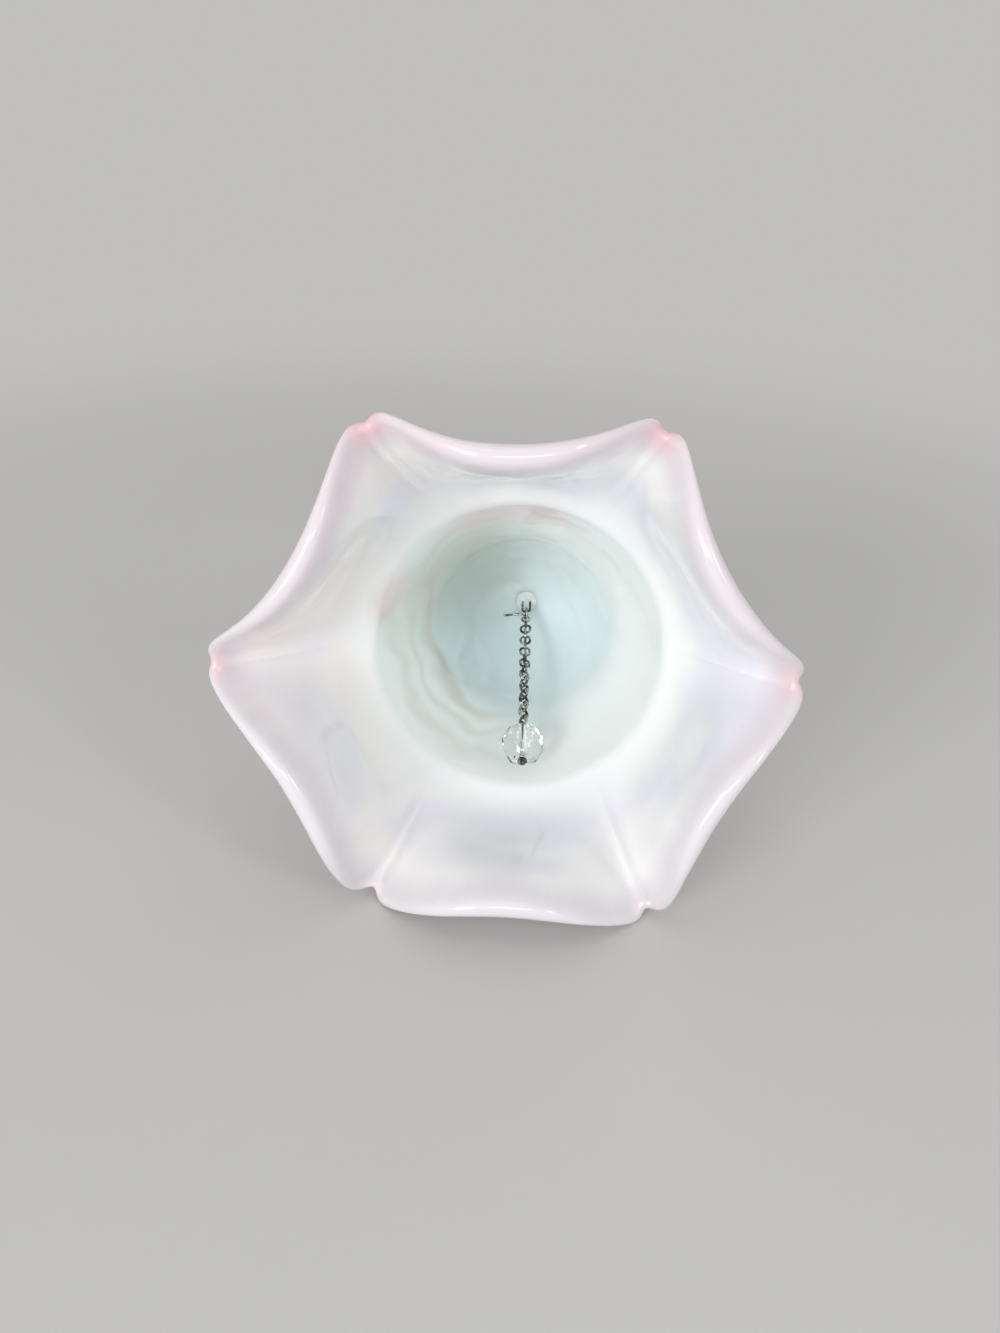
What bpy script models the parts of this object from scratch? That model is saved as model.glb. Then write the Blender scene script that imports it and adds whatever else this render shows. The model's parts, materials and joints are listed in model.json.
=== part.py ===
"""A hand-crimped table bell of opal glass, with a bead clapper on a link chain.

The bell is made upright in its own frame: its axis is Z, the corners of its rim
lie near Z = 0 and its handle points up. It is then laid on its side, so that
two corners of the rim and the end of the handle rest on the ground, and the
clapper lies out along the lower wall. All sizes are in metres.
"""

import math

import bmesh
import bpy
from mathutils import Matrix, Vector

# Plan of the rim, measured to the outer edge of the glass
CORNER_REACH = 0.0583
SIDE_REACH = 0.0450
SIDE_DROP = 0.0146
CORNER_ROUNDING_DEG = 2.8
CORNER_POINTING = 0.27
POINTING_POWER = 4.0
DROP_POWER = 3.8

# How far each corner and side strays from an even six, because they are
# crimped by hand, counted anticlockwise from the right as the mouth is seen
CORNER_TURN_DEG = (2.1, 0.4, -1.2, -3.5, -2.6, 0.7)
CORNER_STRAY = (-0.0011, -0.0004, 0.0004, 0.0034, -0.0020, -0.0001)
SIDE_STRAY = (0.0000, 0.0006, 0.0014, 0.0006, -0.0023, -0.0004)

# Crease pressed in from outside at each corner, and the nick it leaves in the rim
CREASE_DEPTH = 0.0024
CREASE_HALF_WIDTH = 0.0028
CREASE_LENGTH = 0.036
CREASE_WALL = 0.0024
CREASE_THINNING = 0.8
NICK_HALF_WIDTH = 0.0019
NICK_DEPTH = (0.0014, 0.0016, 0.0013, 0.0015, 0.0026, 0.0026)

# Wall of the skirt and its fire-polished lip
SKIRT_WALL = 0.0032
SIDE_LIP = 0.0048
CORNER_LIP = 0.0034
FLARE_DEG = 55.0
SIDE_LIP_ROLL_DEG = 24.0
CORNER_LIP_ROLL_DEG = 54.0
LIP_SWELL_START = 0.55

# Inside of the body: throat, waist and dome
THROAT_RADIUS = 0.0315
THROAT_HEIGHT = 0.026
WAIST_RADIUS = 0.0215
WAIST_HEIGHT = 0.046
BODY_BULGE = 0.0010
DOME_START_DEG = 20.0
CROWN_HEIGHT = 0.0787
BODY_WALL = 0.0034
CROWN_WALL = 0.0105

# Socket in the thick glass of the crown, for the clapper's wire
SOCKET_RADIUS = 0.0021
SOCKET_EDGE = 0.0005
SOCKET_DEPTH = 0.0070

# Solid handle, drawn from the crown in one piece with it
NECK_RADIUS = 0.0056
NECK_LENGTH = 0.0070
NECK_FILLET = 0.0025
COLLAR_RADIUS = 0.0080
COLLAR_HEIGHT = 0.0046
COLLAR_WRAP_DEG = 80.0
GRIP_ROOT_RADIUS = 0.0048
GRIP_RADIUS = 0.0072
GRIP_LENGTH = 0.0370
GRIP_FULLEST = 0.8
KNOB_RADIUS = 0.0086

# Wire staple and the cement that holds it in the socket
SEAT_GAP = 0.0003
WIRE_RADIUS = 0.00031
STAPLE_SPREAD = 0.0020
STAPLE_DROP = 0.0046
STAPLE_PLAY = 0.00015

# Wire hanger: a turn round the staple, a loop for the chain and a straight tail
HANGER_EYE_RADIUS = 0.00125
HANGER_LOOP_RADIUS = 0.0010
HANGER_TURN_PITCH = 0.00078
KNOT_TO_LOOP = 0.0005
LOOP_START_DEG = 35.0
LOOP_WRAP_DEG = 270.0
TAIL_LENGTH = 0.0059
WIRE_PLAY = 0.0001

# Chain
LINK_COUNT = 17
LINK_LENGTH = 0.0036
LINK_WIDTH = 0.0030
CHAIN_TWIST_DEG = 45.0
TWIST_FIRST_LINK = 3
TWIST_LINKS = 8
CHAIN_SWAY_DEG = 5.2

# Faceted bead on its eye pin
BEAD_RADIUS = 0.0050
BEAD_HALF_LENGTH = 0.0046
BEAD_BORE_RADIUS = 0.00065
BEAD_TABLE_RADIUS = 0.0017
BEAD_SHOULDER_DEG = 36.0
BEAD_SIDES = 8
PIN_EYE_RADIUS = 0.0009
EYE_OPEN_DEG = 32.0
PIN_HEAD_RADIUS = 0.0011
PIN_HEAD_HEIGHT = 0.0006
BEAD_WALL_GAP = 0.0008

# Fineness of the meshes
SKIRT_COLUMNS = 16
COLUMN_DRAW = 0.8
SKIRT_ROWS = 8
LIP_ROWS = 4
DOME_ROWS = 8
CONE_ROWS = 2
CONE_ROW_DRAW = 0.2
SHOULDER_ROWS = 4
SHOULDER_END_DEG = 66.0
GRIP_ROWS = 8
KNOB_ROWS = 6
LINK_POINTS = 16
EYE_STEPS = 14
HANGER_STEPS = 16
BORE_SIDES = 12
SETTLING_ROUNDS = 40

PINK_WHITE = (0.93, 0.90, 0.91, 1.0)
PLASTER_WHITE = (0.82, 0.84, 0.80, 1.0)
NICKEL = (0.55, 0.54, 0.50, 1.0)
CRYSTAL = (0.93, 0.96, 0.96, 1.0)


def clear_scene():
    """Start from a scene with nothing in it."""
    for obj in list(bpy.data.objects):
        bpy.data.objects.remove(obj, do_unlink=True)


def make_material(name, colour, roughness, metallic=0.0, transmission=0.0):
    """Give back a plain finish of one colour."""
    material = bpy.data.materials.new(name)
    material.use_nodes = True
    shader = material.node_tree.nodes["Principled BSDF"]
    shader.inputs["Base Color"].default_value = colour
    shader.inputs["Roughness"].default_value = roughness
    shader.inputs["Metallic"].default_value = metallic
    shader.inputs["Transmission Weight"].default_value = transmission
    return material


def make_empty(name, location, rotation, parent=None):
    """Add an axis that other pieces are hung on."""
    empty = bpy.data.objects.new(name, None)
    empty.location = location
    empty.rotation_euler = rotation
    empty.parent = parent
    bpy.context.collection.objects.link(empty)
    return empty


def mesh_object(name, bm, material, parent=None, smooth_deg=40.0):
    """Turn a finished bmesh into an object with its faces pointing out."""
    bmesh.ops.recalc_face_normals(bm, faces=bm.faces)
    if bm.calc_volume(signed=True) < 0.0:
        bmesh.ops.reverse_faces(bm, faces=bm.faces)
    mesh = bpy.data.meshes.new(name)
    bm.to_mesh(mesh)
    bm.free()
    mesh.materials.append(material)
    if smooth_deg:
        mesh.shade_smooth()
        mesh.set_sharp_from_angle(angle=math.radians(smooth_deg))
    obj = bpy.data.objects.new(name, mesh)
    obj.parent = parent
    bpy.context.collection.objects.link(obj)
    return obj


def wire_object(name, points, material, parent, closed=False, thickness=None):
    """Bend a round wire along points; thickness scales it at each point."""
    curve = bpy.data.curves.new(name, "CURVE")
    curve.dimensions = "3D"
    curve.bevel_depth = WIRE_RADIUS
    curve.bevel_resolution = 1
    curve.use_fill_caps = not closed
    spline = curve.splines.new("POLY")
    spline.points.add(len(points) - 1)
    for index, point in enumerate(points):
        spline.points[index].co = (*point, 1.0)
        spline.points[index].radius = thickness[index] if thickness else 1.0
    spline.use_cyclic_u = closed
    spline.use_smooth = True
    curve.materials.append(material)
    obj = bpy.data.objects.new(name, curve)
    obj.parent = parent
    bpy.context.collection.objects.link(obj)
    return obj


def blend(low, high, share):
    """Value a share of the way from low to high."""
    return low + (high - low) * share


def ease(share):
    """Smooth step from 0 to 1."""
    share = min(max(share, 0.0), 1.0)
    return share * share * (3.0 - 2.0 * share)


def arc(centre, radius, start_deg, end_deg, count):
    """Points on an arc in a plane, as (across, up) pairs."""
    points = []
    for step in range(count + 1):
        turn = math.radians(blend(start_deg, end_deg, step / count))
        across = centre[0] + radius * math.cos(turn)
        points.append((across, centre[1] + radius * math.sin(turn)))
    return points


def smooth_curve(points, steps):
    """Pass a smooth curve through a few points of a profile."""
    padded = [points[0], *points, points[-1]]
    curve = [Vector(points[0])]
    for index in range(1, len(padded) - 2):
        before, start, end, after = (Vector(p) for p in padded[index - 1:index + 3])
        for step in range(1, steps + 1):
            t = step / steps
            bend = 2.0 * start + (end - before) * t
            bend += (2.0 * before - 5.0 * start + 4.0 * end - after) * t ** 2
            bend += (3.0 * start - before - 3.0 * end + after) * t ** 3
            curve.append(bend / 2.0)
    return [tuple(point) for point in curve]


# The crimped skirt

SECTOR_DEG = 60.0
CORNER_DEG = [SECTOR_DEG * i + turn for i, turn in enumerate(CORNER_TURN_DEG)]
FULL_DROP = 1.0 / math.cos(math.radians(SECTOR_DEG / 2.0)) - 1.0


def rim_station(sector, share):
    """Angle, how cornered the wall is, and the rim's reach, at a share of a side."""
    start = CORNER_DEG[sector]
    end = CORNER_DEG[(sector + 1) % 6] + (360.0 if sector == 5 else 0.0)
    half = (end - start) / 2.0
    from_corner = min(share, 1.0 - share) * 2.0 * half
    rounded = math.hypot(from_corner, CORNER_ROUNDING_DEG) - CORNER_ROUNDING_DEG
    rounded /= math.hypot(half, CORNER_ROUNDING_DEG) - CORNER_ROUNDING_DEG
    from_side = 1.0 - rounded
    chord = 1.0 / math.cos(math.radians(from_side * SECTOR_DEG / 2.0)) - 1.0
    cornered = blend(chord / FULL_DROP, from_side ** POINTING_POWER, CORNER_POINTING)
    stray = blend(CORNER_STRAY[sector], CORNER_STRAY[(sector + 1) % 6], share)
    side = SIDE_REACH + SIDE_STRAY[sector]
    arc_from_corner = math.radians(from_corner) * CORNER_REACH
    corner = sector if share < 0.5 else (sector + 1) % 6
    nick = NICK_DEPTH[corner] * math.exp(-(arc_from_corner / NICK_HALF_WIDTH) ** 2)
    return {
        "angle": math.radians(blend(start, end, share)),
        "creased": math.exp(-(arc_from_corner / CREASE_HALF_WIDTH) ** 2),
        "cornered": cornered,
        "lowered": 1.0 - from_side ** DROP_POWER,
        "reach": blend(side, CORNER_REACH + stray, cornered) - nick,
    }


def skirt_point(station, along, side):
    """A point of the skirt's wall: along from throat to lip, side from -1 to 1."""
    cornered = station["cornered"]
    half_lip = blend(SIDE_LIP, CORNER_LIP, cornered) / 2.0
    roll = math.radians(blend(SIDE_LIP_ROLL_DEG, CORNER_LIP_ROLL_DEG, cornered))
    flare = math.radians(FLARE_DEG)
    half_wall = SKIRT_WALL / 2.0
    root = Vector((THROAT_RADIUS, THROAT_HEIGHT))
    root += half_wall * Vector((math.cos(flare), math.sin(flare)))
    lip = Vector((station["reach"] - half_lip, half_lip - SIDE_DROP * station["lowered"]))
    reach = (lip - root).length / 3.0
    bend_one = root + reach * Vector((math.sin(flare), -math.cos(flare)))
    bend_two = lip - reach * Vector((math.sin(roll), -math.cos(roll)))
    t = along
    spot = root * (1 - t) ** 3 + bend_one * (3 * t * (1 - t) ** 2)
    spot += bend_two * (3 * t ** 2 * (1 - t)) + lip * t ** 3
    heading = (bend_one - root) * (1 - t) ** 2 + (bend_two - bend_one) * (2 * t * (1 - t))
    heading += (lip - bend_two) * t ** 2
    heading.normalize()
    outward = Vector((-heading.y, heading.x))
    crease = station["creased"] * (1.0 - ease((lip - spot).length / CREASE_LENGTH))
    thick = blend(half_wall, half_lip, ease((t - LIP_SWELL_START) / (1.0 - LIP_SWELL_START)))
    thick = blend(thick, CREASE_WALL / 2.0, crease * CREASE_THINNING)
    spot = spot + outward * (side * thick - CREASE_DEPTH * crease)
    return spot, heading, outward, thick


def column_shares(closeness):
    """Shares of a side where its columns stand, drawn to the creases."""
    shares = []
    for column in range(SKIRT_COLUMNS):
        even = column / SKIRT_COLUMNS
        drawn = even - COLUMN_DRAW * math.sin(2.0 * math.pi * even) / (2.0 * math.pi)
        shares.append(blend(even, drawn, closeness))
    return shares


def skirt_ring(bm, along, side, lip_turn=None):
    """One ring of the skirt, or of its rounded lip where lip_turn is given."""
    ring = []
    for sector in range(6):
        for share in column_shares(ease(along * 2.0)):
            station = rim_station(sector, share)
            spot, heading, outward, thick = skirt_point(station, along, side)
            if lip_turn is not None:
                middle = spot - outward * (side * thick)
                spot = middle + outward * (thick * math.sin(lip_turn))
                spot += heading * (thick * math.cos(lip_turn))
            turn = station["angle"]
            place = (spot.x * math.cos(turn), -spot.x * math.sin(turn), spot.y)
            ring.append(bm.verts.new(place))
    return ring


def round_ring(bm, radius, height, columns):
    """One ring of a round part, its columns in line with the skirt's."""
    ring = []
    for column in range(columns):
        sector, step = divmod(column * 6 / columns, 1.0)
        start = CORNER_DEG[int(sector)]
        end = CORNER_DEG[(int(sector) + 1) % 6] + (360.0 if int(sector) == 5 else 0.0)
        turn = math.radians(blend(start, end, step))
        ring.append(bm.verts.new((radius * math.cos(turn), -radius * math.sin(turn), height)))
    return ring


def join_rings(bm, first, second):
    """Close the wall between two rings, one of which may have half the columns."""
    if len(first) < len(second):
        first, second = second, first
    many, few = len(first), len(second)
    for column in range(few):
        after = (column + 1) % few
        if many == few:
            bm.faces.new((first[column], first[after], second[after], second[column]))
            continue
        left, middle, right = (first[(2 * column + k) % many] for k in range(3))
        bm.faces.new((left, middle, second[column]))
        bm.faces.new((middle, second[after], second[column]))
        bm.faces.new((middle, right, second[after]))


# Profiles of the round parts, each from the mouth side up

OUTER_CROWN = CROWN_HEIGHT + CROWN_WALL
NECK_TOP = OUTER_CROWN + NECK_LENGTH
COLLAR_TOP = NECK_TOP + COLLAR_HEIGHT
GRIP_TOP = COLLAR_TOP + GRIP_LENGTH
KNOB_SINK = math.sqrt(KNOB_RADIUS ** 2 - GRIP_ROOT_RADIUS ** 2)
KNOB_CENTRE = GRIP_TOP + KNOB_SINK
CONE_SLOPE = math.atan2(THROAT_RADIUS - WAIST_RADIUS, WAIST_HEIGHT - THROAT_HEIGHT)
DOME_START = math.radians(DOME_START_DEG)


def body_point(share):
    """Point of the body's inner wall, a share of the way from throat to waist."""
    radius = blend(THROAT_RADIUS, WAIST_RADIUS, share)
    radius += BODY_BULGE * math.sin(math.pi * share)
    return radius, blend(THROAT_HEIGHT, WAIST_HEIGHT, share)


def dome_point(waist, crown, turn):
    """Point of a dome of that waist radius and crown height, leaning in from its foot."""
    across = waist / math.cos(DOME_START)
    rise = (crown - WAIST_HEIGHT) / (1.0 - math.sin(DOME_START))
    height = WAIST_HEIGHT + rise * (math.sin(turn) - math.sin(DOME_START))
    return across * math.cos(turn), height


def dome_inside():
    """Inner wall from the throat to the edge of the socket in the crown."""
    points = [body_point(row / (CONE_ROWS + 1)) for row in range(1, CONE_ROWS + 1)]
    edge = (SOCKET_RADIUS + SOCKET_EDGE) * math.cos(DOME_START) / WAIST_RADIUS
    last = math.acos(edge)
    for row in range(DOME_ROWS + 1):
        turn = blend(DOME_START, last, row / DOME_ROWS)
        points.append(dome_point(WAIST_RADIUS, CROWN_HEIGHT, turn))
    return points


SOCKET_MOUTH = dome_inside()[-1][1]


def socket_inside():
    """Rounded edge, side and floor of the socket."""
    edge = (SOCKET_RADIUS + SOCKET_EDGE, SOCKET_MOUTH + SOCKET_EDGE)
    points = arc(edge, SOCKET_EDGE, 270.0, 180.0, 2)[1:]
    points.append((SOCKET_RADIUS, SOCKET_MOUTH + SOCKET_DEPTH))
    return points


def dome_outside():
    """Outer wall from the throat to the root of the handle."""
    wall = BODY_WALL / math.cos(CONE_SLOPE)
    points = []
    for row in range(1, CONE_ROWS + 2):
        radius, height = body_point((row - CONE_ROW_DRAW) / (CONE_ROWS + 1))
        points.append((radius + wall, height))
    for row in range(1, SHOULDER_ROWS + 1):
        turn = blend(DOME_START, math.radians(SHOULDER_END_DEG), row / SHOULDER_ROWS)
        points.append(dome_point(WAIST_RADIUS + BODY_WALL, OUTER_CROWN, turn))
    points.append((NECK_RADIUS, OUTER_CROWN + NECK_FILLET))
    return smooth_curve(points, 2)


def handle_outside():
    """Outer wall of the handle from its neck to the pole of its knob."""
    bead = COLLAR_HEIGHT / 2.0
    middle = NECK_TOP + bead
    points = arc((COLLAR_RADIUS - bead, middle), bead, -COLLAR_WRAP_DEG, COLLAR_WRAP_DEG, 4)
    for row in range(GRIP_ROWS + 1):
        share = row / GRIP_ROWS
        swell = math.sin(math.pi * share ** GRIP_FULLEST) ** 2
        radius = blend(GRIP_ROOT_RADIUS, GRIP_RADIUS, swell)
        points.append((radius, blend(COLLAR_TOP, GRIP_TOP, share)))
    start = -math.degrees(math.asin(KNOB_SINK / KNOB_RADIUS))
    points += arc((0.0, KNOB_CENTRE), KNOB_RADIUS, start, 90.0, KNOB_ROWS)[1:-1]
    return points


def build_bell_glass(material, parent):
    """The bell: socket, crown, skirt and handle as one piece of glass."""
    fine = SKIRT_COLUMNS * 6
    medium = fine // 2
    coarse = fine // 4
    bm = bmesh.new()
    rings = [skirt_ring(bm, row / SKIRT_ROWS, -1.0) for row in range(SKIRT_ROWS)]
    for row in range(LIP_ROWS + 1):
        turn = math.pi * (row / LIP_ROWS - 0.5)
        rings.append(skirt_ring(bm, 1.0, 1.0, lip_turn=turn))
    rings += [skirt_ring(bm, row / SKIRT_ROWS, 1.0) for row in reversed(range(SKIRT_ROWS))]
    shoulder = dome_outside()
    outside = [round_ring(bm, *point, fine) for point in shoulder[:-1]]
    outside.append(round_ring(bm, *shoulder[-1], medium))
    outside += [round_ring(bm, *point, coarse) for point in handle_outside()]
    inside = [round_ring(bm, *point, fine) for point in dome_inside()]
    socket = socket_inside()
    inside.append(round_ring(bm, *socket[0], medium))
    inside += [round_ring(bm, *point, coarse) for point in socket[1:]]
    rings = [*reversed(inside), *rings, *outside]
    for first, second in zip(rings, rings[1:]):
        join_rings(bm, first, second)
    floor = SOCKET_MOUTH + SOCKET_DEPTH
    for ring, height in ((rings[0], floor), (rings[-1], KNOB_CENTRE + KNOB_RADIUS)):
        pole = bm.verts.new((0.0, 0.0, height))
        for index, vert in enumerate(ring):
            bm.faces.new((vert, ring[(index + 1) % len(ring)], pole))
    return mesh_object("bell_glass", bm, material, parent)


# Laying the bell down

def lie_down(bell):
    """Find the turn, tilt and place at which the bell rests on the ground."""
    points = [vert.co.copy() for vert in bell.data.vertices]
    left = [p for p in points if p.x < 0.0 and p.z < THROAT_HEIGHT]
    right = [p for p in points if p.x > 0.0 and p.z < THROAT_HEIGHT]
    knob = [p for p in points if p.z > GRIP_TOP]
    turn = 0.0
    tilt = 0.0
    for _ in range(SETTLING_ROUNDS):
        pose = Matrix.Rotation(-math.pi / 2.0 - tilt, 4, "X") @ Matrix.Rotation(turn, 4, "Z")
        on_left, on_right, on_knob = (
            min((pose @ p for p in part), key=lambda p: p.z) for part in (left, right, knob)
        )
        turn += (on_right.z - on_left.z) / (on_right.x - on_left.x)
        rim = (on_left + on_right) / 2.0
        tilt += (on_knob.z - rim.z) / (on_knob.y - rim.y)
    pose = Matrix.Rotation(-math.pi / 2.0 - tilt, 4, "X") @ Matrix.Rotation(turn, 4, "Z")
    placed = [pose @ p for p in points]
    lows = [min(p[axis] for p in placed) for axis in range(3)]
    highs = [max(p[axis] for p in placed) for axis in range(3)]
    place = (-(lows[0] + highs[0]) / 2.0, -(lows[1] + highs[1]) / 2.0, -lows[2])
    return turn, tilt, place


# The clapper hangs on a line from the mouth of the socket to the bead. Along
# that line it is measured downwards, from the foot of the staple.

CROSSING = 2.0 * WIRE_RADIUS + WIRE_PLAY
LINK_PITCH = LINK_LENGTH - 2.0 * WIRE_RADIUS - CROSSING
EYE_CENTRE = HANGER_EYE_RADIUS - CROSSING
KNOT_DROP = EYE_CENTRE + HANGER_EYE_RADIUS
LOOP_CENTRE = KNOT_DROP + HANGER_LOOP_RADIUS + KNOT_TO_LOOP
CHAIN_START = LOOP_CENTRE + HANGER_LOOP_RADIUS - CROSSING / 2.0
CHAIN_END = CHAIN_START + LINK_COUNT * LINK_PITCH
EYE_TO_BEAD = BEAD_HALF_LENGTH + SEAT_GAP + WIRE_RADIUS + PIN_EYE_RADIUS
BEAD_DROP = CHAIN_END - CROSSING / 2.0 + PIN_EYE_RADIUS + EYE_TO_BEAD


def clapper_lean():
    """Angle between the bell's axis and the clapper, with the bead by the wall."""
    reach = STAPLE_DROP + BEAD_DROP
    drop = SOCKET_MOUTH - THROAT_HEIGHT
    to_wall = THROAT_RADIUS * math.cos(CONE_SLOPE) - drop * math.sin(CONE_SLOPE)
    spare = to_wall - BEAD_RADIUS - BEAD_WALL_GAP
    return CONE_SLOPE + math.asin(spare / reach)


def round_bar(name, material, parent, radius, length, place, sides):
    """Add a plain round bar along Z, centred at a place."""
    bm = bmesh.new()
    bmesh.ops.create_cone(
        bm, cap_ends=True, segments=sides, radius1=radius, radius2=radius, depth=length,
        matrix=Matrix.Translation(place),
    )
    return mesh_object(name, bm, material, parent)


def build_cement(material, parent):
    """Plug of cement in the socket, with a hole for each leg of the staple."""
    depth = SOCKET_DEPTH - SEAT_GAP
    middle = SOCKET_MOUTH + depth / 2.0
    place = (0.0, 0.0, middle)
    radius = SOCKET_RADIUS - SEAT_GAP
    plug = round_bar("socket_cement", material, parent, radius, depth, place, 2 * BORE_SIDES)
    for name, side in (("left_leg_hole", -1.0), ("right_leg_hole", 1.0)):
        place = (side * STAPLE_SPREAD / 2.0, 0.0, middle)
        hole = WIRE_RADIUS + STAPLE_PLAY
        cut_with(plug, round_bar(name, material, parent, hole, 2.0 * depth, place, BORE_SIDES))
    return plug


def cut_with(obj, cutter):
    """Cut one object with another, which is then only a guide."""
    cutter.hide_render = True
    cutter.display_type = "WIRE"
    modifier = obj.modifiers.new(cutter.name, "BOOLEAN")
    modifier.operation = "DIFFERENCE"
    modifier.object = cutter


def build_staple(material, parent, lean):
    """Wire staple: two legs set in the crown and a round foot that holds the hanger."""
    half = STAPLE_SPREAD / 2.0
    downwards = Vector((0.0, math.sin(lean), -math.cos(lean)))
    mouth = Vector((0.0, 0.0, SOCKET_MOUTH))
    leg_end = mouth + Vector((0.0, 0.0, SOCKET_DEPTH - 2.0 * SEAT_GAP))
    bend = mouth + downwards * WIRE_RADIUS
    foot = mouth + downwards * STAPLE_DROP
    left = Vector((-half, 0.0, 0.0))
    points = [leg_end + left, bend + left]
    for across, up in arc((0.0, half), half, 180.0, 360.0, BORE_SIDES // 2):
        points.append(foot - downwards * up + Vector((across, 0.0, 0.0)))
    points += [bend - left, leg_end - left]
    return wire_object("wire_staple", points, material, parent)


def build_hanger(material, parent):
    """Wire hanger: straight tail, one turn round the staple, loop for the chain."""
    start = -HANGER_TURN_PITCH / 2.0
    wire = 2.0 * WIRE_RADIUS
    points = [
        (-TAIL_LENGTH, -wire, -KNOT_DROP - WIRE_RADIUS),
        (start - 2.0 * wire, -wire, -KNOT_DROP),
        (start - WIRE_RADIUS, -wire, -KNOT_DROP),
    ]
    for step in range(1, HANGER_STEPS):
        share = step / HANGER_STEPS
        turn = 2.0 * math.pi * share - math.pi / 2.0
        across = HANGER_EYE_RADIUS * math.cos(turn)
        up = HANGER_EYE_RADIUS * math.sin(turn) - EYE_CENTRE
        points.append((start + HANGER_TURN_PITCH * share, across, up))
    points.append((-start, WIRE_RADIUS, -KNOT_DROP - WIRE_RADIUS))
    end = LOOP_START_DEG - LOOP_WRAP_DEG
    loop = arc((0.0, -LOOP_CENTRE), HANGER_LOOP_RADIUS, LOOP_START_DEG, end, HANGER_STEPS)
    points += [(across, 0.0, up) for across, up in loop]
    return wire_object("wire_hanger", points, material, parent)


def link_outline():
    """Middle line of a chain link: two straight sides and two round ends."""
    radius = LINK_WIDTH / 2.0 - WIRE_RADIUS
    straight = LINK_LENGTH / 2.0 - WIRE_RADIUS - radius
    quarter = LINK_POINTS // 2 - 1
    top = arc((0.0, straight), radius, 0.0, 180.0, quarter)
    bottom = arc((0.0, -straight), radius, 180.0, 360.0, quarter)
    return top + bottom


def link_roll(index):
    """Turn of a link about the line of the chain, which twists on its way down."""
    twist = CHAIN_TWIST_DEG * ease((index - TWIST_FIRST_LINK) / TWIST_LINKS)
    return math.radians(90.0 * ((index + 1) % 2) + twist)


def build_chain(material, parent):
    """Links of the chain, each threaded through the one above."""
    links = []
    half = LINK_LENGTH / 2.0 - WIRE_RADIUS - CROSSING / 2.0
    outline = link_outline()
    for index in range(LINK_COUNT):
        points = [(across, 0.0, up - half) for across, up in outline]
        link = wire_object(f"chain_link_{index + 1:02d}", points, material, parent, True)
        link.location = (0.0, 0.0, -CHAIN_START - index * LINK_PITCH)
        link.rotation_euler = (0.0, 0.0, link_roll(index))
        links.append(link)
    return links


def build_eye_pin(material, parent):
    """Eye pin: an eye for the last link, a shank through the bead, and a head."""
    radius = PIN_EYE_RADIUS
    centre = -(radius - CROSSING / 2.0)
    shank_top = centre - radius
    bead_top = shank_top - WIRE_RADIUS - SEAT_GAP
    under_bead = bead_top - 2.0 * BEAD_HALF_LENGTH - SEAT_GAP
    eye = arc((0.0, centre), radius, -EYE_OPEN_DEG, 270.0, EYE_STEPS)
    points = [(across, 0.0, up) for across, up in eye]
    points += [(0.0, 0.0, bead_top), (0.0, 0.0, under_bead)]
    points += [(0.0, 0.0, under_bead - PIN_HEAD_HEIGHT * share) for share in (0.1, 1.0)]
    head = PIN_HEAD_RADIUS / WIRE_RADIUS
    thickness = [1.0] * (len(points) - 2) + [head, head]
    pin = wire_object("eye_pin", points, material, parent, thickness=thickness)
    pin.location = (0.0, 0.0, -CHAIN_END)
    pin.rotation_euler = (0.0, 0.0, link_roll(LINK_COUNT))
    return pin


def build_bead(material, parent):
    """Faceted bead: rows of flat facets round a bore."""
    shoulder_turn = math.radians(BEAD_SHOULDER_DEG)
    shoulder = BEAD_RADIUS * math.cos(shoulder_turn)
    rise = BEAD_RADIUS * math.sin(shoulder_turn)
    rows = (
        (BEAD_TABLE_RADIUS, BEAD_HALF_LENGTH, 0.5),
        (shoulder, rise, 0.0),
        (BEAD_RADIUS, 0.0, 0.5),
        (shoulder, -rise, 0.0),
        (BEAD_TABLE_RADIUS, -BEAD_HALF_LENGTH, 0.5),
    )
    bm = bmesh.new()
    for radius, height, offset in rows:
        for column in range(BEAD_SIDES):
            turn = 2.0 * math.pi * (column + offset) / BEAD_SIDES
            bm.verts.new((radius * math.cos(turn), radius * math.sin(turn), height))
    bmesh.ops.convex_hull(bm, input=bm.verts)
    bead = mesh_object("clapper_bead", bm, material, parent, smooth_deg=0.0)
    bead.location = (0.0, 0.0, -BEAD_DROP)
    length = 3.0 * BEAD_HALF_LENGTH
    middle = (0.0, 0.0, 0.0)
    bore = round_bar("bead_bore", material, parent, BEAD_BORE_RADIUS, length, middle, BORE_SIDES)
    bore.location = bead.location
    cut_with(bead, bore)
    return bead


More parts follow.
